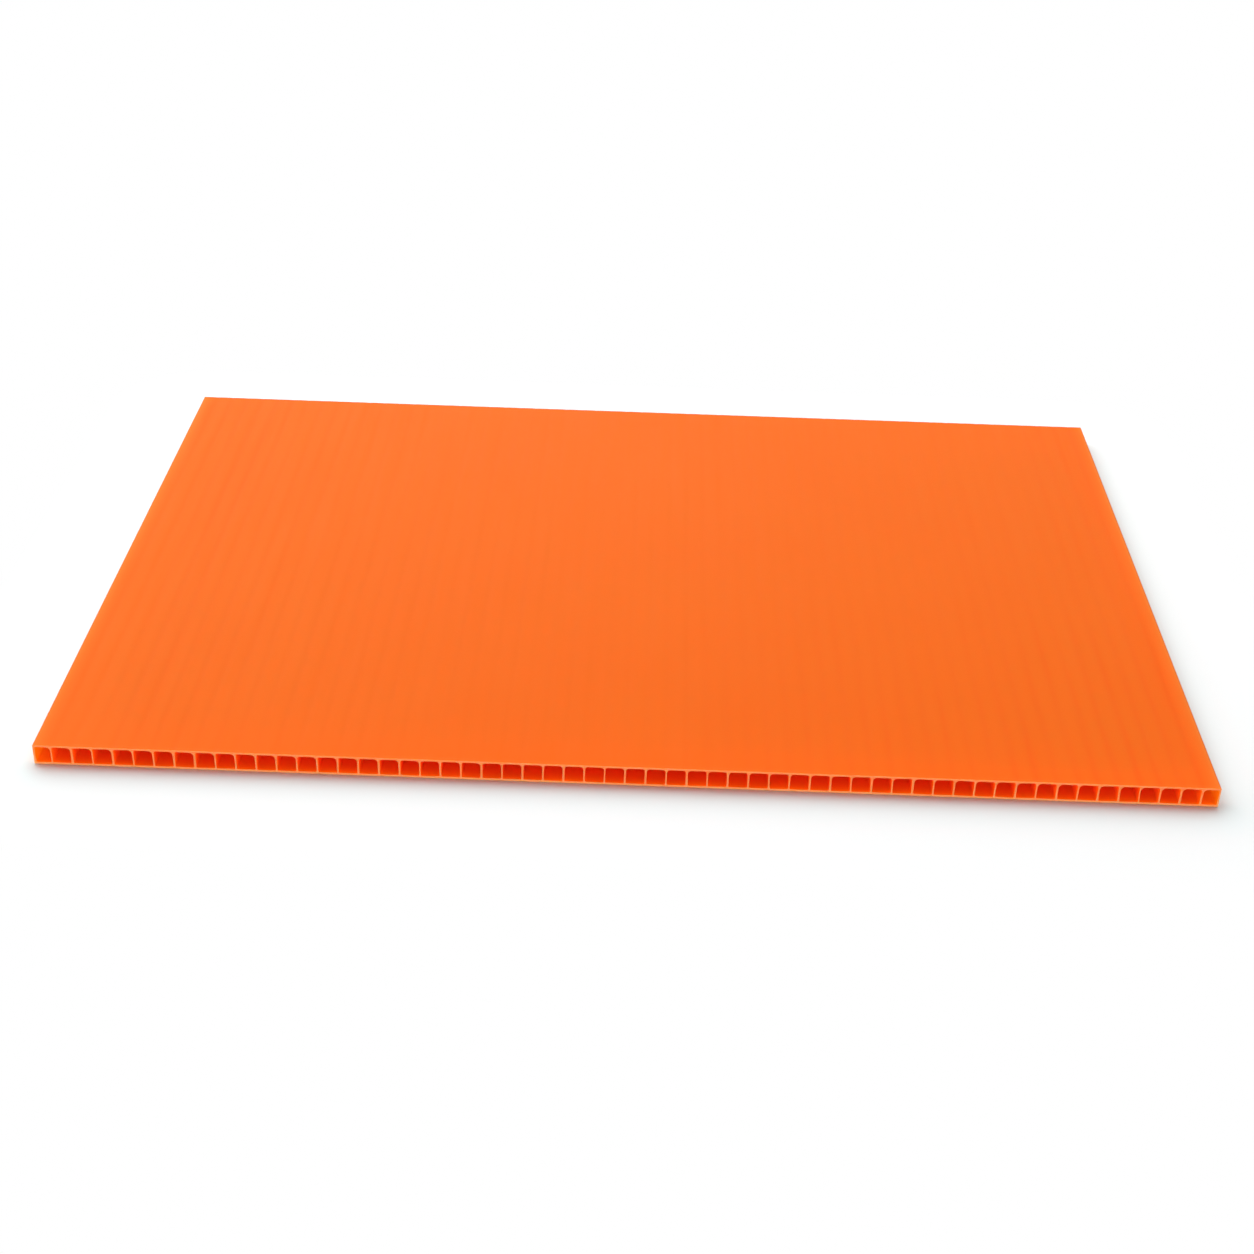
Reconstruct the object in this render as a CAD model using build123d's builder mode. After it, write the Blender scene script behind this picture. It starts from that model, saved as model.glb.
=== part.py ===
from build123d import *
import os

# Twin-wall fluted plastic sheet, lying flat: two liners joined by upright webs.
# Millimetres, +Z up. The flutes run along Y and open on the front and back edges.

# outside of the sheet
sheet_width = 297.0  # across the flutes
sheet_depth = 210.0  # along the flutes
sheet_thickness = 5.5  # over both liners

# walls
liner_thickness = 0.5  # top and bottom skins
web_thickness = 0.42  # between two flutes
side_wall = 0.45  # closes the sheet on its two long sides

# flutes
flute_count = 58
edge_ratio = 0.89  # the flute at each side, against the pitch of the others
roof_radius = 0.8  # where the webs spread into the top liner
floor_radius = 0.3  # where they meet the bottom liner

# worked out from the above
inner_count = flute_count - 2
pitch = sheet_width / (inner_count + 2 * edge_ratio)
edge_pitch = edge_ratio * pitch
flute_width = pitch - web_thickness
flute_height = sheet_thickness - 2 * liner_thickness
edge_flute_width = edge_pitch - side_wall - web_thickness / 2
edge_flute_at = sheet_width / 2 - side_wall - edge_flute_width / 2

# the hollow of one flute, seen from the front
with BuildSketch() as flute:
    Rectangle(flute_width, flute_height)
    fillet(flute.vertices().group_by(Axis.Y)[-1], radius=roof_radius)
    fillet(flute.vertices().group_by(Axis.Y)[0], radius=floor_radius)

# the narrower hollow beside each closed side
with BuildSketch() as edge_flute:
    Rectangle(edge_flute_width, flute_height)
    fillet(edge_flute.vertices().group_by(Axis.Y)[-1], radius=roof_radius)
    fillet(edge_flute.vertices().group_by(Axis.Y)[0], radius=floor_radius)

# the extruded section, drawn on the front view and pulled through the depth
with BuildPart() as fluted_sheet:
    with BuildSketch(Plane.XZ) as section:
        with Locations((0, sheet_thickness / 2)):
            Rectangle(sheet_width, sheet_thickness)
        with Locations((0, sheet_thickness / 2)):
            with GridLocations(pitch, 0, inner_count, 1):
                add(flute.sketch, mode=Mode.SUBTRACT)
            with Locations((-edge_flute_at, 0), (edge_flute_at, 0)):
                add(edge_flute.sketch, mode=Mode.SUBTRACT)
    extrude(amount=sheet_depth / 2, both=True)

fluted_sheet.part.label = "fluted_sheet"

os.makedirs("parts", exist_ok=True)
export_step(fluted_sheet.part, "parts/fluted_sheet.step")
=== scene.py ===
import math
import bmesh
import bpy
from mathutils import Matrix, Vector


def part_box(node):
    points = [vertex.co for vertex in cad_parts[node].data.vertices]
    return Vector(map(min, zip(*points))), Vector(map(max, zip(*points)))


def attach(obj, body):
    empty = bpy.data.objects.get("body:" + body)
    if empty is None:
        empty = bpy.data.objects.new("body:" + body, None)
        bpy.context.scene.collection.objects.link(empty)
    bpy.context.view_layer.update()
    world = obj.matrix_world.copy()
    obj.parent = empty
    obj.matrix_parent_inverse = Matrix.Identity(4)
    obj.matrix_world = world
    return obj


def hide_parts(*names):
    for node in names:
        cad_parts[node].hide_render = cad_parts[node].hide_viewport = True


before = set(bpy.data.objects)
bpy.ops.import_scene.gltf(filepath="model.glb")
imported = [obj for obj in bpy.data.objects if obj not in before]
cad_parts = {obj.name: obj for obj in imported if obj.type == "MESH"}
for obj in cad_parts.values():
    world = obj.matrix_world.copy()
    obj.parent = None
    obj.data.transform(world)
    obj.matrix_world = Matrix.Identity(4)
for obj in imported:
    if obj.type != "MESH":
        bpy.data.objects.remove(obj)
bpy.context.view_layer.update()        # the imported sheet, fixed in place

low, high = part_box("fluted_sheet")
halfWidth, halfDepth = high[0], high[1]
print("frame loaded")


# node helpers

def wire(tree, value, socket):
    if isinstance(value, bpy.types.NodeSocket):
        tree.links.new(value, socket)
    else:
        socket.default_value = value


def place(tree, kind, values=None, **settings):
    made = tree.nodes.new(kind)
    for name, value in settings.items():
        setattr(made, name, value)
    for name, value in (values or {}).items():
        wire(tree, value, made.inputs[name])
    return made


def calc(tree, operation, *values):
    return place(tree, "ShaderNodeMath", dict(enumerate(values)), operation=operation).outputs[0]


def fold(tree, operation, first, *others):      # more than two values are taken one after another
    for other in others:
        first = calc(tree, operation, first, other)
    return first


def plus(tree, *values):
    return fold(tree, "ADD", *values)


def minus(tree, *values):
    return fold(tree, "SUBTRACT", *values)


def times(tree, *values):
    return fold(tree, "MULTIPLY", *values)


def over(tree, value, divisor):
    return calc(tree, "DIVIDE", value, divisor)


def least(tree, first, second):
    return calc(tree, "MINIMUM", first, second)


def most(tree, first, second):
    return calc(tree, "MAXIMUM", first, second)


def absolute(tree, value):
    return calc(tree, "ABSOLUTE", value)


def fade(tree, distance, reach):        # 1 at a distance of 0, and about a third of that one reach below
    return calc(tree, "EXPONENT", over(tree, distance, reach))


def ramp(tree, value, start, end, **settings):      # 0 at the start, 1 at the end and past it
    return place(tree, "ShaderNodeMapRange", {"Value": value, "From Min": start, "From Max": end},
                 **settings).outputs[0]


def tint(tree, share, below, above):
    made = place(tree, "ShaderNodeMix", data_type="RGBA", clamp_factor=True)
    for value, at in ((share, 0), (below, 6), (above, 7)):      # the colour sockets of this node
        wire(tree, value, made.inputs[at])
    return made.outputs[2]


def noise(tree, where, scale, detail, roughness=0.5):
    return place(tree, "ShaderNodeTexNoise", {
        "Vector": where, "Scale": scale, "Detail": detail, "Roughness": roughness}).outputs["Fac"]


def combine(tree, x, y, z):
    return place(tree, "ShaderNodeCombineXYZ", {"X": x, "Y": y, "Z": z}).outputs[0]


def split(tree, vector):
    return list(place(tree, "ShaderNodeSeparateXYZ", {0: vector}).outputs)


def objectSpot(tree):
    return place(tree, "ShaderNodeTexCoord").outputs["Object"]


def startGroup(name, kind, inputs, outputs):
    tree = bpy.data.node_groups.new(name, kind)
    for label, socketKind, value in inputs:
        socket = tree.interface.new_socket(label, in_out="INPUT", socket_type=socketKind)
        if value is not None:
            socket.default_value = value
    for label, socketKind in outputs:
        tree.interface.new_socket(label, in_out="OUTPUT", socket_type=socketKind)
    return tree, place(tree, "NodeGroupInput").outputs, place(tree, "NodeGroupOutput").inputs


# the sheet's sizes, in metres

sheet = {
    "flutes": 58,
    "liner": 0.0005,
    "web": 0.00042,
    "sideWall": 0.00045,
    "edgeRatio": 0.89,          # the flute at each side, against the others' pitch
    "roofRadius": 0.0008,
    "roofSteps": 7,
    "floorRadius": 0.0003,
    "floorSteps": 3,
    "roofUnevenness": 0.42,     # the roof corner towards the middle of the sheet is rounder, the other sharper
    "evenReach": 0.1,           # and fully so from this far off the middle
    "cornerRadius": 0.00018,    # along the closed sides
    "cornerSteps": 3,
    "stepsAcross": 8,           # for each flute
    "stepsAlong": 18,
    "sinkDepth": 0.00005,       # how far the skins draw in over a web
    "sinkReach": 0.0007,
    "sinkLeast": 0.4,           # of that depth, before an uneven share is added
    "sinkDrift": 0.43,          # how much that share changes from web to web
    "lean": math.radians(1.3),  # how far a web may stand off upright
    "leanSeed": 11,
    "wander": 0.00008,          # and sideways
    "wanderSeed": 4,
    "sharpFrom": 32,            # degrees between two faces
}
pitch = (high[0] - low[0]) / (sheet["flutes"] - 2 + 2 * sheet["edgeRatio"])
webPhase = 100.5        # a whole number of flutes off the middle is a web, and comes half way through a count


def nearWeb(tree, flutesOff, spacing, reach):       # 1 on a web, and fading over the reach
    off = minus(tree, calc(tree, "FRACT", plus(tree, flutesOff, webPhase)), 0.5)
    away = over(tree, times(tree, off, spacing), reach)
    return calc(tree, "EXPONENT", times(tree, away, away, -1.0))


# shader groups that the sheet's materials share

def buildDrawLines():
    tree, given, out = startGroup("drawLines", "ShaderNodeTree", [
        ("Lines Per Metre", "NodeSocketFloat", 900.0),
        ("Wander Per Metre", "NodeSocketFloat", 8.0),
    ], [("Line", "NodeSocketFloat"), ("Broad", "NodeSocketFloat")])
    across, along, up = split(tree, objectSpot(tree))
    fast, slow = given["Lines Per Metre"], given["Wander Per Metre"]
    stretched = combine(tree, times(tree, across, fast), times(tree, along, slow), times(tree, up, fast))
    wire(tree, noise(tree, stretched, 1.0, 3.0, 0.55), out["Line"])
    wire(tree, noise(tree, stretched, 0.14, 2.0), out["Broad"])     # bands about seven lines wide
    return tree


def buildDyeDrift():
    tree, given, out = startGroup("dyeDrift", "ShaderNodeTree", [
        ("Deep", "NodeSocketColor", (0.8, 0.1, 0.01, 1.0)),
        ("Light", "NodeSocketColor", (1.0, 0.2, 0.03, 1.0)),
        ("Spot Size", "NodeSocketFloat", 0.03),
    ], [("Color", "NodeSocketColor"), ("Drift", "NodeSocketFloat")])
    drift = noise(tree, objectSpot(tree), over(tree, 1.0, given["Spot Size"]), 3.0)
    wire(tree, tint(tree, drift, given["Deep"], given["Light"]), out["Color"])
    wire(tree, drift, out["Drift"])
    return tree


def buildEdgeReach():
    tree, given, out = startGroup("edgeReach", "ShaderNodeTree", [
        ("Half Width", "NodeSocketFloat", halfWidth),
        ("Half Depth", "NodeSocketFloat", halfDepth),
        ("Side Fade", "NodeSocketFloat", 0.001),
        ("Cut Fade", "NodeSocketFloat", 0.001),
        ("Deep Cut Fade", "NodeSocketFloat", 0.002),
    ], [("Side", "NodeSocketFloat"), ("Cut", "NodeSocketFloat"), ("Deep Cut", "NodeSocketFloat")])
    across, along = split(tree, objectSpot(tree))[:2]
    fromSide = minus(tree, absolute(tree, across), given["Half Width"])
    fromCut = minus(tree, absolute(tree, along), given["Half Depth"])
    for name, distance in (("Side", fromSide), ("Cut", fromCut), ("Deep Cut", fromCut)):
        wire(tree, fade(tree, distance, given[name + " Fade"]), out[name])
    return tree


drawLines = buildDrawLines()
dyeDrift = buildDyeDrift()
edgeReach = buildEdgeReach()


# the plastic: walls that pass light on, and pale cut edges with a painted glow where that light would come out

passing = {
    "share": 0.55,                          # of the light that meets a wall goes through it
    "through": (1.0, 0.095, 0.0035, 1.0),   # its colour behind the wall
    "throughSide": (1.0, 0.42, 0.02, 1.0),  # and behind the thin wall at a side
    "sideReach": 0.003,                     # how far in from a side that shows
    "ior": 1.49,
}


def startMaterial(name):
    made = bpy.data.materials.new(name)
    made.use_nodes = True
    made.cycles.emission_sampling = "NONE"      # the faint glow of a wall is no lamp
    tree = made.node_tree
    tree.nodes.clear()
    return made, tree


def endMaterial(tree, shader):
    wire(tree, shader.outputs[0], place(tree, "ShaderNodeOutputMaterial").inputs["Surface"])


def useGroup(tree, group, values):
    return place(tree, "ShaderNodeGroup", values, node_tree=group).outputs


def useDye(tree, look):
    return useGroup(tree, dyeDrift, {
        "Deep": look["deepDye"], "Light": look["lightDye"], "Spot Size": look["dyeSpot"]})


def useLines(tree, look):
    return useGroup(tree, drawLines, {
        "Lines Per Metre": look["linesPerMetre"], "Wander Per Metre": look["wanderPerMetre"]})


def plasticShader(tree, look, tone, line, height):
    bump = place(tree, "ShaderNodeBump", {
        "Strength": look["bumpStrength"], "Distance": look["bumpDepth"], "Height": height})
    rough = plus(tree, look["roughness"], times(tree, line, look["lineRoughness"]))
    return place(tree, "ShaderNodeBsdfPrincipled", {
        "Base Color": tone, "Roughness": rough, "IOR": passing["ior"], "Normal": bump.outputs[0]})


def passLightOn(tree, plastic):
    across = absolute(tree, split(tree, objectSpot(tree))[0])
    nearSide = fade(tree, minus(tree, across, halfWidth), passing["sideReach"])
    color = tint(tree, nearSide, passing["through"], passing["throughSide"])
    behind = place(tree, "ShaderNodeBsdfTranslucent", {"Color": color})
    return place(tree, "ShaderNodeMixShader", {0: passing["share"], 1: plastic.outputs[0], 2: behind.outputs[0]})


skinLook = {
    "deepDye": (1.0, 0.234, 0.0006, 1.0),
    "lightDye": (1.0, 0.265, 0.0022, 1.0),
    "dyeSpot": 0.045,
    "paintedSheenTone": (1.0, 0.345, 0.026, 1.0),       # painted light and sheen, lighter and bluer than the dye
    "paintedSheenCentre": 0.13,                         # of half the width: least pale this far right of the middle
    "paintedSheenAcross": 0.3,                          # and paler on both sides of there
    "paintedSheenBack": 0.25,                           # and towards the back
    "streakAndShadeTone": (1.0, 0.205, 0.003, 1.0),     # draw lines and webs that show through, partly painted shade of the ribs over the webs
    "linesPerMetre": 420.0,
    "wanderPerMetre": 24.0,
    "webReach": 0.001,
    "webShare": 0.5,                            # of a web against a draw line
    "streakLeast": 0.2,                         # in the middle of the sheet
    "sheenStreakOutward": 0.9,                       # and more at the sides, a painted sheen across the ribs
    "streakBroad": 0.8,
    "printAndShadeAcross": (-0.02, 0.09),               # webs print through, with painted rib shade, more from here to there
    "printAndShadeAlong": (-0.01, -0.09),
    "edgeHighlightTone": (1.0, 0.42, 0.075, 1.0),        # a painted highlight beside the closed sides and the cuts
    "sideFade": 0.0009,
    "sideShare": 0.7,
    "cutFade": 0.0006,
    "cutShare": 0.1,
    "edgeLeast": 0.6,
    "edgeBroad": 0.8,
    "turnShadeTone": (0.30, 0.085, 0.018, 1.0),      # painted shade where the top turns over
    "turnShadeReach": 0.00022,
    "gloss": 0.062,
    "roughness": 0.36,
    "lineRoughness": 0.16,
    "bumpStrength": 0.10,
    "bumpDepth": 0.0002,
    "bumpLine": 0.3,                            # of a fine line against a broad one
}


def makeSkin():
    look = skinLook
    made, tree = startMaterial("orangePolypropylene")
    lines = useLines(tree, look)
    reach = useGroup(tree, edgeReach, {"Side Fade": look["sideFade"], "Cut Fade": look["cutFade"]})
    across, along, up = split(tree, objectSpot(tree))
    fromMiddle = absolute(tree, across)

    # painted light and sheen: palest at the back and on the left
    sideways = minus(tree, over(tree, across, halfWidth), look["paintedSheenCentre"])
    paintedSheen = plus(tree, times(tree, sideways, sideways, look["paintedSheenAcross"]),
                   times(tree, ramp(tree, along, -halfDepth, halfDepth), look["paintedSheenBack"]))
    tone = tint(tree, paintedSheen, useDye(tree, look)["Color"], look["paintedSheenTone"])

    # draw lines and webs show most at the sides, and webs also at the front, right of the middle, partly painted rib
    # shade and sheen
    web = nearWeb(tree, over(tree, across, pitch), pitch, look["webReach"])
    outward = over(tree, fromMiddle, halfWidth)
    streakAndSheenShown = plus(tree, look["streakLeast"], times(tree, outward, outward, look["sheenStreakOutward"]))
    streakAndRibShade = times(tree, plus(tree, times(tree, web, look["webShare"]), lines["Line"]), streakAndSheenShown,
                   times(tree, lines["Broad"], look["streakBroad"]))
    printAndRibShade = times(tree, ramp(tree, across, *look["printAndShadeAcross"]), ramp(tree, along, *look["printAndShadeAlong"]),
                    times(tree, lines["Line"], lines["Line"]), web)
    tone = tint(tree, plus(tree, streakAndRibShade, printAndRibShade), tone, look["streakAndShadeTone"])

    # a painted highlight along the closed sides and the cuts
    edge = plus(tree, times(tree, reach["Side"], look["sideShare"]), times(tree, reach["Cut"], look["cutShare"]))
    edge = times(tree, edge, plus(tree, look["edgeLeast"], times(tree, lines["Broad"], look["edgeBroad"])))
    tone = tint(tree, edge, tone, look["edgeHighlightTone"])

    # painted shade: a thin darker line where the top turns over at the sides and the back
    beyond = most(tree, minus(tree, fromMiddle, halfWidth), minus(tree, along, halfDepth))
    turnShade = fade(tree, plus(tree, beyond, minus(tree, up, high[2])), look["turnShadeReach"])
    tone = tint(tree, turnShade, tone, look["turnShadeTone"])

    height = plus(tree, times(tree, lines["Line"], look["bumpLine"]), lines["Broad"])
    plastic = plasticShader(tree, look, tone, lines["Line"], height)
    plastic.inputs["Specular IOR Level"].default_value = look["gloss"]
    endMaterial(tree, passLightOn(tree, plastic))
    return made


cutLook = {
    "deepDye": (1.0, 0.22, 0.045, 1.0),
    "lightDye": (1.0, 0.28, 0.070, 1.0),
    "dyeSpot": 0.004,
    "lowTone": (1.0, 0.38, 0.13, 1.0),      # near the underside, where light comes back up off the floor
    "lowReach": 0.0015,
    "paintedGlow": (0.22, 0.072, 0.016, 1.0),   # painted glow, for the light that the walls bring
    "paintedGlowLow": (0.38, 0.16, 0.045, 1.0),     # painted glow near the underside
    "linesPerMetre": 5200.0,                # the cut's fine grain, the same both ways
    "wanderPerMetre": 5200.0,
    "spreadColor": (1.0, 0.35, 0.12),       # how far each colour spreads under the surface
    "spreadReach": 0.0015,
    "roughness": 0.5,
    "lineRoughness": 0.2,
    "bumpStrength": 0.25,
    "bumpDepth": 0.00005,
}


def makeCutEdge():
    look = cutLook
    made, tree = startMaterial("cutEdgePale")
    nearFloor = fade(tree, split(tree, objectSpot(tree))[2], -look["lowReach"])     # less and less going up
    tone = tint(tree, nearFloor, useDye(tree, look)["Color"], look["lowTone"])
    line = useLines(tree, look)["Line"]
    plastic = plasticShader(tree, look, tone, line, line)
    # a painted glow on the cut face, stronger near the underside
    for name, value in (("Emission Color", tint(tree, nearFloor, look["paintedGlow"], look["paintedGlowLow"])),
                        ("Emission Strength", 1.0), ("Subsurface Weight", 1.0),
                        ("Subsurface Radius", look["spreadColor"]), ("Subsurface Scale", look["spreadReach"])):
        wire(tree, value, plastic.inputs[name])
    endMaterial(tree, plastic)
    return made


wallLook = {
    "deepDye": (0.97, 0.34, 0.016, 1.0),
    "lightDye": (0.98, 0.52, 0.040, 1.0),
    "dyeSpot": 0.012,
    "linesPerMetre": 1600.0,
    "wanderPerMetre": 12.0,
    "sideFade": 0.003,
    "cutFade": 0.0012,
    "deepCutFade": 0.0017,      # the painted red glow reaches further along a wall from the cut than the orange does
    "glowRedFromCut": 0.27,
    "glowRedFromSide": 0.05,
    "glowGreenFromCut": 0.065,
    "glowGreenFromSide": 0.03,
    "glowBlue": 0.0005,
    "unevenLeast": 0.5,         # and the dye's drift is added
    "roughness": 0.32,
    "lineRoughness": 0.2,
    "bumpStrength": 0.12,
    "bumpDepth": 0.0001,
}


def makeFluteWall():
    look = wallLook
    made, tree = startMaterial("fluteWallOrange")
    dye, line = useDye(tree, look), useLines(tree, look)["Line"]
    reach = useGroup(tree, edgeReach, {
        "Side Fade": look["sideFade"], "Cut Fade": look["cutFade"], "Deep Cut Fade": look["deepCutFade"]})
    # a painted glow, red and orange, near the cuts and the sides
    uneven = plus(tree, look["unevenLeast"], dye["Drift"])
    glowRed = plus(tree, times(tree, reach["Deep Cut"], look["glowRedFromCut"]),
               times(tree, reach["Side"], look["glowRedFromSide"]))
    glowGreen = plus(tree, times(tree, reach["Cut"], look["glowGreenFromCut"]),
                 times(tree, reach["Side"], look["glowGreenFromSide"]))
    paintedGlow = place(tree, "ShaderNodeCombineColor", {
        "Red": times(tree, glowRed, uneven), "Green": times(tree, glowGreen, uneven), "Blue": look["glowBlue"]})
    plastic = plasticShader(tree, look, dye["Color"], line, line)
    wire(tree, paintedGlow.outputs[0], plastic.inputs["Emission Color"])
    # the mix with the light behind would dim the painted glow
    plastic.inputs["Emission Strength"].default_value = 1.0 / (1.0 - passing["share"])
    endMaterial(tree, passLightOn(tree, plastic))
    return made


skinMaterial = makeSkin()
cutMaterial = makeCutEdge()
wallMaterial = makeFluteWall()
print("materials made")


# the sheet: its section is filled in one plane and drawn out along the flutes

def positionNow(tree):
    return split(tree, place(tree, "GeometryNodeInputPosition").outputs[0])


def drawWithin(tree, reach, seed):      # a number for each point, from -reach to reach
    made = place(tree, "FunctionNodeRandomValue", {"Seed": seed}, data_type="FLOAT")
    wire(tree, times(tree, reach, -1.0), made.inputs[2])        # the sockets for plain numbers
    wire(tree, reach, made.inputs[3])
    return made.outputs[1]


def plainHollow(tree, width, height):       # its corners are marked by side and by roof or floor
    corners = place(tree, "GeometryNodeCurvePrimitiveQuadrilateral", {"Width": width, "Height": height},
                    mode="RECTANGLE")
    across, up = positionNow(tree)[:2]
    kept = place(tree, "GeometryNodeCaptureAttribute", domain="POINT")
    kept.capture_items.new("FLOAT", "Side")
    kept.capture_items.new("FLOAT", "Upper")
    wire(tree, corners.outputs[0], kept.inputs[0])
    wire(tree, calc(tree, "SIGN", across), kept.inputs["Side"])
    wire(tree, calc(tree, "GREATER_THAN", up, 0.0), kept.inputs["Upper"])
    return kept.outputs


def buildSheetTree():
    count, length, finish = "NodeSocketInt", "NodeSocketFloat", "NodeSocketMaterial"
    tree, given, out = startGroup("drawnSheet", "GeometryNodeTree", [
        ("Width", length, 0.3), ("Depth", length, 0.2), ("Thickness", length, 0.005),
        ("Flutes", count, 58), ("Liner", length, 0.0005), ("Web", length, 0.0004),
        ("Side Wall", length, 0.0004), ("Edge Ratio", length, 0.9),
        ("Roof Radius", length, 0.0008), ("Roof Steps", count, 7),
        ("Floor Radius", length, 0.0003), ("Floor Steps", count, 3),
        ("Roof Unevenness", length, 0.0), ("Even Reach", length, 0.1),
        ("Corner Radius", length, 0.0), ("Corner Steps", count, 3),
        ("Steps Across", count, 8), ("Steps Along", count, 10),
        ("Sink Depth", length, 0.0), ("Sink Reach", length, 0.001),
        ("Sink Least", length, 0.4), ("Sink Drift", length, 0.4),
        ("Lean", length, 0.0), ("Lean Seed", count, 0), ("Wander", length, 0.0), ("Wander Seed", count, 0),
        ("Skin", finish, None), ("Cut Edge", finish, None), ("Flute Wall", finish, None),
    ], [("Geometry", "NodeSocketGeometry")])

    flutes = given["Flutes"]
    spacing = over(tree, given["Width"], plus(tree, minus(tree, flutes, 2.0), times(tree, given["Edge Ratio"], 2.0)))
    edgeSpacing = times(tree, spacing, given["Edge Ratio"])
    hollowWidth = minus(tree, spacing, given["Web"])
    hollowHeight = minus(tree, given["Thickness"], times(tree, given["Liner"], 2.0))
    edgeWidth = minus(tree, edgeSpacing, given["Side Wall"], times(tree, given["Web"], 0.5))
    halfAcross = times(tree, given["Width"], 0.5)
    halfUp = times(tree, given["Thickness"], 0.5)
    edgeAt = minus(tree, halfAcross, given["Side Wall"], times(tree, edgeWidth, 0.5))

    # one hollow for each flute, along a row of points
    order = minus(tree, place(tree, "GeometryNodeInputIndex").outputs[0], times(tree, minus(tree, flutes, 1.0), 0.5))
    lastInner = times(tree, minus(tree, flutes, 3.0), 0.5)
    inner = most(tree, least(tree, order, lastInner), times(tree, lastInner, -1.0))
    outer = minus(tree, order, inner)       # -1 and 1 for the flutes at the sides, 0 for the others
    across = plus(tree, times(tree, inner, spacing),
                  times(tree, outer, minus(tree, edgeAt, times(tree, lastInner, spacing))),
                  drawWithin(tree, given["Wander"], given["Wander Seed"]))
    row = place(tree, "GeometryNodePoints", {"Count": flutes, "Position": combine(tree, across, halfUp, 0.0)})
    kinds = place(tree, "GeometryNodeJoinGeometry")
    marks = []
    for width in (edgeWidth, hollowWidth):      # the last one linked comes first
        hollow = plainHollow(tree, width, hollowHeight)
        marks.append(hollow)
        asOne = place(tree, "GeometryNodeGeometryToInstance", {0: hollow[0]})
        wire(tree, asOne.outputs[0], kinds.inputs[0])
    tilt = drawWithin(tree, given["Lean"], given["Lean Seed"])
    hollows = place(tree, "GeometryNodeInstanceOnPoints", {
        "Points": row.outputs[0], "Instance": kinds.outputs[0], "Pick Instance": True,
        "Instance Index": absolute(tree, outer), "Rotation": combine(tree, 0.0, 0.0, tilt)})
    placedHollows = place(tree, "GeometryNodeRealizeInstances", {0: hollows.outputs[0]})

    side, upper = (plus(tree, marks[0][name], marks[1][name])       # each hollow carries only its own mark
                   for name in ("Side", "Upper"))
    offMiddle = over(tree, positionNow(tree)[0], given["Even Reach"])
    uneven = times(tree, most(tree, least(tree, offMiddle, 1.0), -1.0), side, given["Roof Unevenness"])
    roof = times(tree, given["Roof Radius"], minus(tree, 1.0, uneven))
    radius = plus(tree, given["Floor Radius"], times(tree, upper, minus(tree, roof, given["Floor Radius"])))
    steps = plus(tree, given["Floor Steps"],
                 times(tree, upper, minus(tree, given["Roof Steps"], given["Floor Steps"])))
    hollowCurves = place(tree, "GeometryNodeFilletCurve", {
        "Curve": placedHollows.outputs[0], "Count": steps, "Radius": radius}, mode="POLY")

    # the outline of the section, with the skins drawn in a little over each web
    strip = place(tree, "GeometryNodeMeshGrid", {
        "Size X": given["Width"], "Size Y": given["Thickness"],
        "Vertices X": plus(tree, times(tree, flutes, given["Steps Across"]), 1.0), "Vertices Y": 2})
    stripAcross, stripUp = positionNow(tree)[:2]
    flutesOff = over(tree, times(tree, stripAcross, flutes), given["Width"])
    howFar = absolute(tree, flutesOff)
    lastWeb = minus(tree, times(tree, flutes, 0.5), 1.0)
    placed = plus(tree, times(tree, least(tree, howFar, lastWeb), spacing),
                  times(tree, most(tree, minus(tree, howFar, lastWeb), 0.0), edgeSpacing))
    placed = times(tree, placed, calc(tree, "SIGN", flutesOff))
    overWeb = times(tree, nearWeb(tree, flutesOff, spacing, given["Sink Reach"]),
                    calc(tree, "LESS_THAN", howFar, plus(tree, lastWeb, 0.5)))
    patchy = noise(tree, combine(tree, times(tree, flutesOff, given["Sink Drift"]), stripUp, 0.0), 1.0, 1.0)
    dip = times(tree, overWeb, given["Sink Depth"], plus(tree, given["Sink Least"], patchy))
    height = times(tree, calc(tree, "SIGN", stripUp), minus(tree, halfUp, dip))
    outline = place(tree, "GeometryNodeSetPosition", {
        "Geometry": strip.outputs[0], "Position": combine(tree, placed, plus(tree, height, halfUp), 0.0)})
    onRim = place(tree, "FunctionNodeCompare", data_type="INT", operation="EQUAL")
    wire(tree, place(tree, "GeometryNodeInputMeshEdgeNeighbors").outputs[0], onRim.inputs[2])
    wire(tree, 1, onRim.inputs[3])      # an edge with one face beside it
    rim = place(tree, "GeometryNodeMeshToCurve", {"Mesh": outline.outputs[0], "Selection": onRim.outputs[0]})
    hair = 0.00001      # metres, in case a corner comes out a little further in
    isCorner = calc(tree, "GREATER_THAN", absolute(tree, positionNow(tree)[0]), minus(tree, halfAcross, hair))
    rounded = place(tree, "GeometryNodeFilletCurve", {
        "Curve": rim.outputs[0], "Count": given["Corner Steps"],
        "Radius": times(tree, isCorner, given["Corner Radius"])}, mode="POLY")
    bothCurves = place(tree, "GeometryNodeJoinGeometry")
    wire(tree, rounded.outputs[0], bothCurves.inputs[0])
    wire(tree, hollowCurves.outputs[0], bothCurves.inputs[0])
    section = place(tree, "GeometryNodeFillCurve", {"Curve": bothCurves.outputs[0]}, mode="TRIANGLES").outputs[0]

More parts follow.
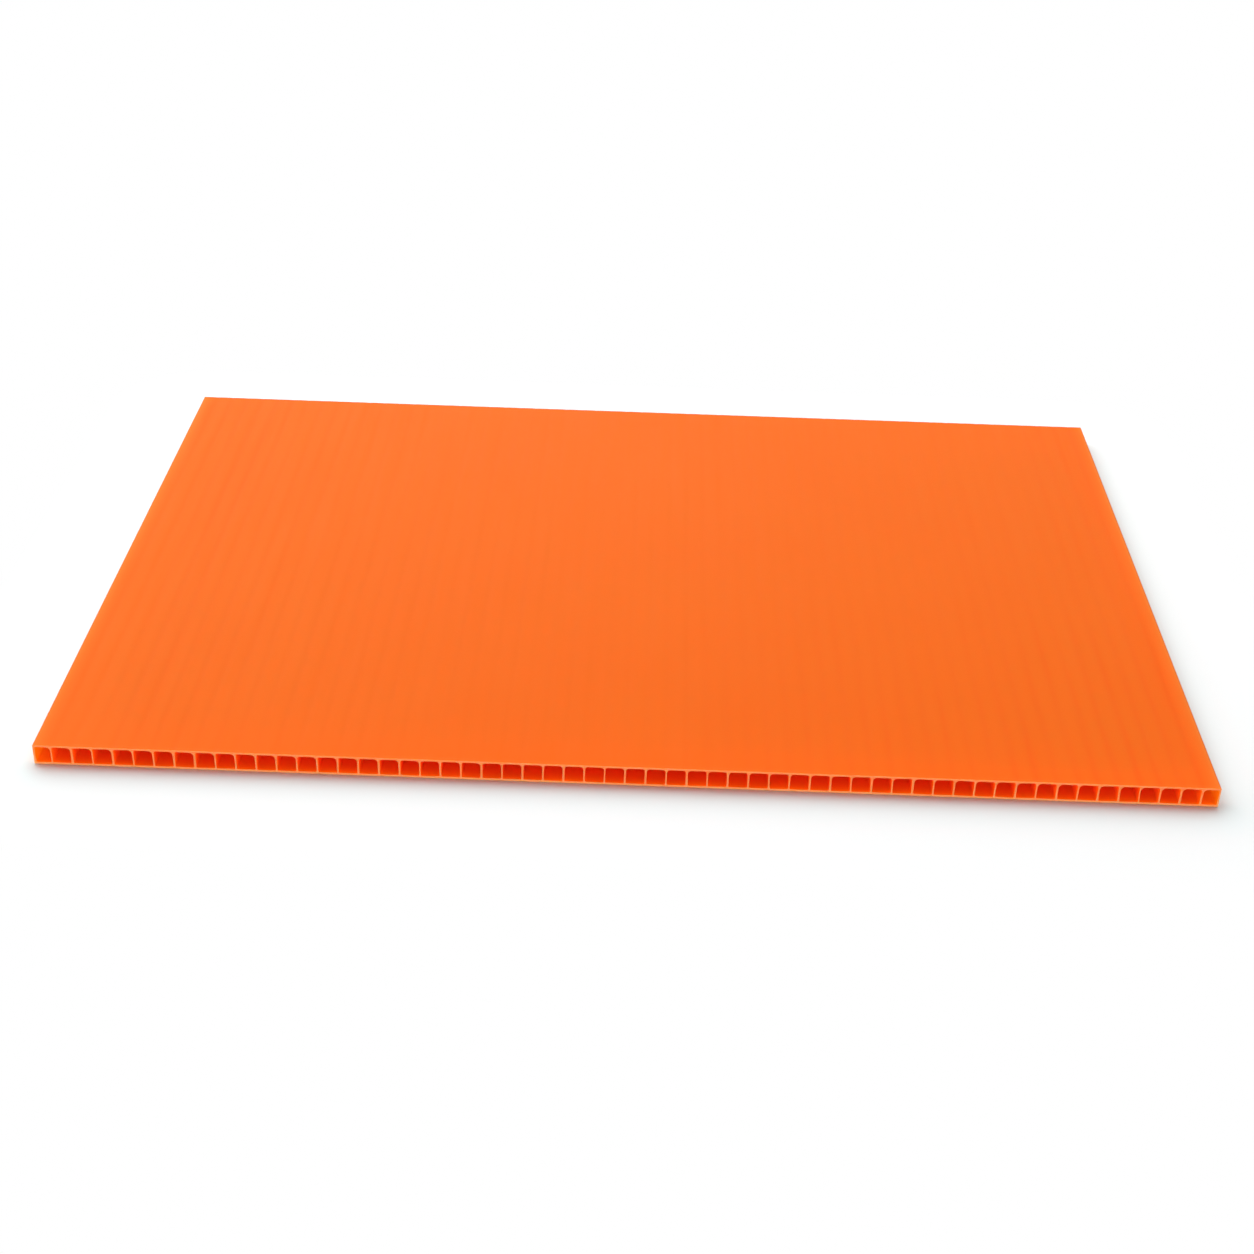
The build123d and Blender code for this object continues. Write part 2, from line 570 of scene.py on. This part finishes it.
    # drawn out step by step, the cut face moving ahead
    begin, end = place(tree, "GeometryNodeRepeatInput"), place(tree, "GeometryNodeRepeatOutput")
    begin.pair_with_output(end)
    end.repeat_items.new("BOOLEAN", "Face Ahead")
    wire(tree, given["Steps Along"], begin.inputs["Iterations"])
    wire(tree, section, begin.inputs["Geometry"])
    wire(tree, True, begin.inputs["Face Ahead"])
    drawn = place(tree, "GeometryNodeExtrudeMesh", {
        "Mesh": begin.outputs["Geometry"], "Selection": begin.outputs["Face Ahead"],
        "Offset": combine(tree, 0.0, 0.0, 1.0), "Offset Scale": over(tree, given["Depth"], given["Steps Along"]),
        "Individual": False}, mode="FACES")
    wire(tree, drawn.outputs["Mesh"], end.inputs["Geometry"])
    wire(tree, drawn.outputs["Top"], end.inputs["Face Ahead"])
    backFace = place(tree, "GeometryNodeFlipFaces", {0: section})
    whole = place(tree, "GeometryNodeJoinGeometry")
    wire(tree, end.outputs["Geometry"], whole.inputs[0])
    wire(tree, backFace.outputs[0], whole.inputs[0])
    weldReach = 0.000002
    welded = place(tree, "GeometryNodeMergeByDistance", {"Geometry": whole.outputs[0], "Distance": weldReach})
    laid = place(tree, "GeometryNodeTransform", {
        "Geometry": welded.outputs[0], "Rotation": (math.pi / 2, 0.0, 0.0),
        "Translation": combine(tree, 0.0, times(tree, given["Depth"], 0.5), 0.0)})

    # materials by place: cut faces, flute walls, and the skins and sides
    aim, here = split(tree, place(tree, "GeometryNodeInputNormal").outputs[0]), positionNow(tree)
    cutAim = 0.7        # of a normal's length along the flutes
    isCut = calc(tree, "GREATER_THAN", absolute(tree, aim[1]), cutAim)
    isLow = calc(tree, "LESS_THAN", absolute(tree, minus(tree, here[2], halfUp)),
                 minus(tree, halfUp, times(tree, given["Liner"], 0.5)))
    isWithin = calc(tree, "LESS_THAN", absolute(tree, here[0]),
                    minus(tree, halfAcross, times(tree, given["Side Wall"], 0.5)))
    real = place(tree, "GeometryNodeRealizeInstances", {0: laid.outputs[0]})
    shape = place(tree, "GeometryNodeSetMaterial", {0: real.outputs[0], "Material": given["Skin"]})
    for chosen, material in ((times(tree, isLow, isWithin), "Flute Wall"), (isCut, "Cut Edge")):
        shape = place(tree, "GeometryNodeSetMaterial", {
            0: shape.outputs[0], "Selection": chosen, "Material": given[material]})
    wire(tree, shape.outputs[0], out["Geometry"])
    return tree


def setInputs(modifier, values):
    for item in modifier.node_group.interface.items_tree:
        if item.item_type == "SOCKET" and item.in_out == "INPUT":
            modifier[item.identifier] = values[item.name]


def makeSheet():
    holder = bpy.data.objects.new("sheetPlan", bpy.data.meshes.new("sheetPlan"))
    bpy.context.collection.objects.link(holder)
    modifier = holder.modifiers.new("drawnSheet", "NODES")
    modifier.node_group = buildSheetTree()
    setInputs(modifier, {
        "Width": high[0] - low[0], "Depth": high[1] - low[1], "Thickness": high[2] - low[2],
        "Flutes": sheet["flutes"], "Liner": sheet["liner"], "Web": sheet["web"],
        "Side Wall": sheet["sideWall"], "Edge Ratio": sheet["edgeRatio"],
        "Roof Radius": sheet["roofRadius"], "Roof Steps": sheet["roofSteps"],
        "Floor Radius": sheet["floorRadius"], "Floor Steps": sheet["floorSteps"],
        "Roof Unevenness": sheet["roofUnevenness"], "Even Reach": sheet["evenReach"],
        "Corner Radius": sheet["cornerRadius"], "Corner Steps": sheet["cornerSteps"],
        "Steps Across": sheet["stepsAcross"], "Steps Along": sheet["stepsAlong"],
        "Sink Depth": sheet["sinkDepth"], "Sink Reach": sheet["sinkReach"],
        "Sink Least": sheet["sinkLeast"], "Sink Drift": sheet["sinkDrift"],
        "Lean": sheet["lean"], "Lean Seed": sheet["leanSeed"],
        "Wander": sheet["wander"], "Wander Seed": sheet["wanderSeed"],
        "Skin": skinMaterial, "Cut Edge": cutMaterial, "Flute Wall": wallMaterial,
    })
    evaluated = holder.evaluated_get(bpy.context.evaluated_depsgraph_get())
    mesh = bpy.data.meshes.new_from_object(evaluated)
    bpy.data.objects.remove(holder)
    work = bmesh.new()
    work.from_mesh(mesh)
    bmesh.ops.recalc_face_normals(work, faces=work.faces)
    openEdges = sum(1 for edge in work.edges if len(edge.link_faces) != 2)
    work.to_mesh(mesh)
    work.free()
    mesh.materials.pop(index=0)         # the empty slot that bare geometry starts with
    mesh.shade_smooth()
    mesh.set_sharp_from_angle(angle=math.radians(sheet["sharpFrom"]))
    print("sheet drawn:", len(mesh.polygons), "faces,", openEdges, "open edges,", [m.name for m in mesh.materials])
    made = bpy.data.objects.new("drawn_sheet", mesh)
    bpy.context.collection.objects.link(made)
    return made


drawnSheet = makeSheet()
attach(drawnSheet, "root")
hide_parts("fluted_sheet")

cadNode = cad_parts["fluted_sheet"]
for slot in cadNode.material_slots:
    slot.material = skinMaterial


# floor, light and camera

studio = {
    "floorSide": 12.0,
    "nearShadeTone": (0.76, 0.85, 0.85, 1.0),   # painted shade close to the sheet, taking red out
    # painted shadow further out, a little greyer
    "farShadeTone": (0.805, 0.822, 0.822, 1.0),
    "shadeToneFade": (0.003, 0.014),             # metres off the sheet's front
    "shadeToneSideways": 1.3,                    # and nearer than that off its sides
    "floorRoughness": 0.8,
    "floorGloss": 0.2,
    "floorFade": (0.008, 0.035),            # metres off the sheet
    "glowFrom": (-0.223, 0.940, 0.260),     # where the soft light is brightest
    "glowSpan": (0.14, 0.45),               # from faint to bright, as one looks round towards there
    "glowRange": (0.03, 1.72),
    "keyPlace": (-0.24, 0.46, 0.70),
    "keySize": 1.1,
    "keyPower": 7.25,
    "cardPlace": (0.0, -1.0, 0.10),         # a low reflector in front of the cut edge
    "cardSize": 0.35,
    "cardPower": 3.0,
}
cameraSet = {
    "place": (0.00359, -0.51878, 0.29372),
    "turn": (59.098, -1.512, 1.492),        # degrees
    "lens": 57.905,
    "sensor": 36.0,
}


def lengthOf(tree, across, along):
    far = place(tree, "ShaderNodeVectorMath", {0: combine(tree, across, along, 0.0)}, operation="LENGTH")
    return far.outputs["Value"]


def makeFloor():
    half = studio["floorSide"] / 2
    mesh = bpy.data.meshes.new("studioFloor")
    mesh.from_pydata([(-half, -half, 0), (half, -half, 0), (half, half, 0), (-half, half, 0)], [], [(0, 1, 2, 3)])
    made = bpy.data.objects.new("studioFloor", mesh)
    bpy.context.collection.objects.link(made)
    material, tree = startMaterial("paleFloor")
    offSide, offCut = (most(tree, minus(tree, absolute(tree, spot), reach), 0.0)
                       for spot, reach in zip(split(tree, objectSpot(tree)), (halfWidth, halfDepth)))

    # painted shade: cooler close by, against the red light that the sheet throws on it, and a little greyer further
    # out as a painted shadow tail, less far out beside it than in front
    shadeReach = lengthOf(tree, times(tree, offSide, studio["shadeToneSideways"]), offCut)
    tone = tint(tree, ramp(tree, shadeReach, *studio["shadeToneFade"]), studio["nearShadeTone"], studio["farShadeTone"])
    shade = place(tree, "ShaderNodeBsdfPrincipled", {
        "Base Color": tone, "Roughness": studio["floorRoughness"], "Specular IOR Level": studio["floorGloss"]})

    # away from the sheet the floor runs into the white behind it
    runOut = ramp(tree, lengthOf(tree, offSide, offCut), *studio["floorFade"], interpolation_type="SMOOTHSTEP")
    white = place(tree, "ShaderNodeEmission", {"Color": (1, 1, 1, 1), "Strength": 1.0})
    endMaterial(tree, place(tree, "ShaderNodeMixShader", {0: runOut, 1: shade.outputs[0], 2: white.outputs[0]}))
    mesh.materials.append(material)


def makeLamp(name, spot, side, power):      # aimed at the middle of the sheet
    lamp = bpy.data.lights.new(name, "AREA")
    lamp.shape, lamp.size, lamp.energy = "SQUARE", side, power
    made = bpy.data.objects.new(name, lamp)
    made.location = spot
    made.rotation_euler = (-made.location).to_track_quat("-Z", "Y").to_euler()
    bpy.context.collection.objects.link(made)


def makeSky():      # lights the sheet unevenly, but shows as plain white
    world = bpy.data.worlds.new("softSky")
    world.use_nodes = True
    tree = world.node_tree
    tree.nodes.clear()
    aim = place(tree, "ShaderNodeTexCoord").outputs["Generated"]
    toward = place(tree, "ShaderNodeVectorMath", {0: aim, 1: studio["glowFrom"]}, operation="DOT_PRODUCT")
    strength = place(tree, "ShaderNodeMapRange", {
        "Value": toward.outputs["Value"], "From Min": studio["glowSpan"][0], "From Max": studio["glowSpan"][1],
        "To Min": studio["glowRange"][0], "To Max": studio["glowRange"][1]}, interpolation_type="SMOOTHSTEP")
    soft = place(tree, "ShaderNodeBackground", {"Color": (1, 1, 1, 1), "Strength": strength.outputs[0]})
    plain = place(tree, "ShaderNodeBackground", {"Color": (1, 1, 1, 1), "Strength": 1.0})
    seen = place(tree, "ShaderNodeLightPath").outputs["Is Camera Ray"]
    both = place(tree, "ShaderNodeMixShader", {0: seen, 1: soft.outputs[0], 2: plain.outputs[0]})
    wire(tree, both.outputs[0], place(tree, "ShaderNodeOutputWorld").inputs["Surface"])
    bpy.context.scene.world = world


def makeCamera():
    lens = bpy.data.cameras.new("photoCamera")
    lens.sensor_width, lens.lens = cameraSet["sensor"], cameraSet["lens"]
    lens.clip_start, lens.clip_end = 0.01, 50.0
    made = bpy.data.objects.new("photoCamera", lens)
    made.location = cameraSet["place"]
    made.rotation_euler = [math.radians(angle) for angle in cameraSet["turn"]]
    bpy.context.collection.objects.link(made)
    bpy.context.scene.camera = made


makeFloor()
makeLamp("keySoftbox", studio["keyPlace"], studio["keySize"], studio["keyPower"])
makeLamp("frontCard", studio["cardPlace"], studio["cardSize"], studio["cardPower"])
makeSky()
makeCamera()
bpy.context.scene.view_settings.view_transform = "Standard"
paths = bpy.context.scene.cycles        # light goes through many thin walls here
paths.max_bounces, paths.diffuse_bounces, paths.transmission_bounces = 16, 8, 16
print("studio set")
